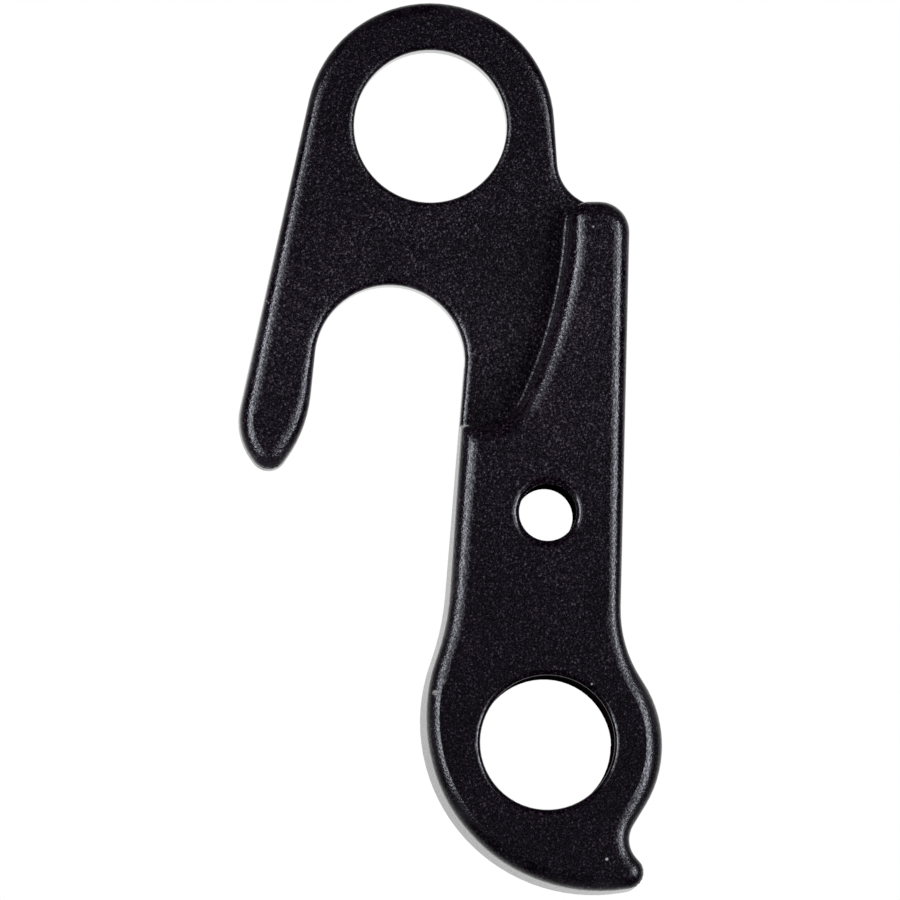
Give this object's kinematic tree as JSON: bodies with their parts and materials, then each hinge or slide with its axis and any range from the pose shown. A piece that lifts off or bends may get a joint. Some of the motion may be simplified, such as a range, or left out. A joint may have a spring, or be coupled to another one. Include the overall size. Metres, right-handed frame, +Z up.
{
  "type": "bicycle derailleur hanger",
  "caption": "Black stepped plate with a ring for its frame bolt and an open slot for the wheel axle; its thick arm ends in a threaded boss and claw that carry a rear derailleur.",
  "frame": {"origin": "the wheel axle's centre line, in the plane of the face that seats on the frame's dropout", "axes": "+X to the rear of the bicycle, +Y outboard, away from the wheel, +Z up"},
  "size_m": [0.0281, 0.0075, 0.0595],
  "materials": {
    "black_anodised": "bead-blasted, anodised black, satin"
  },
  "bodies": {
    "root": {"hanger": "black_anodised"}
  },
  "joints": []
}
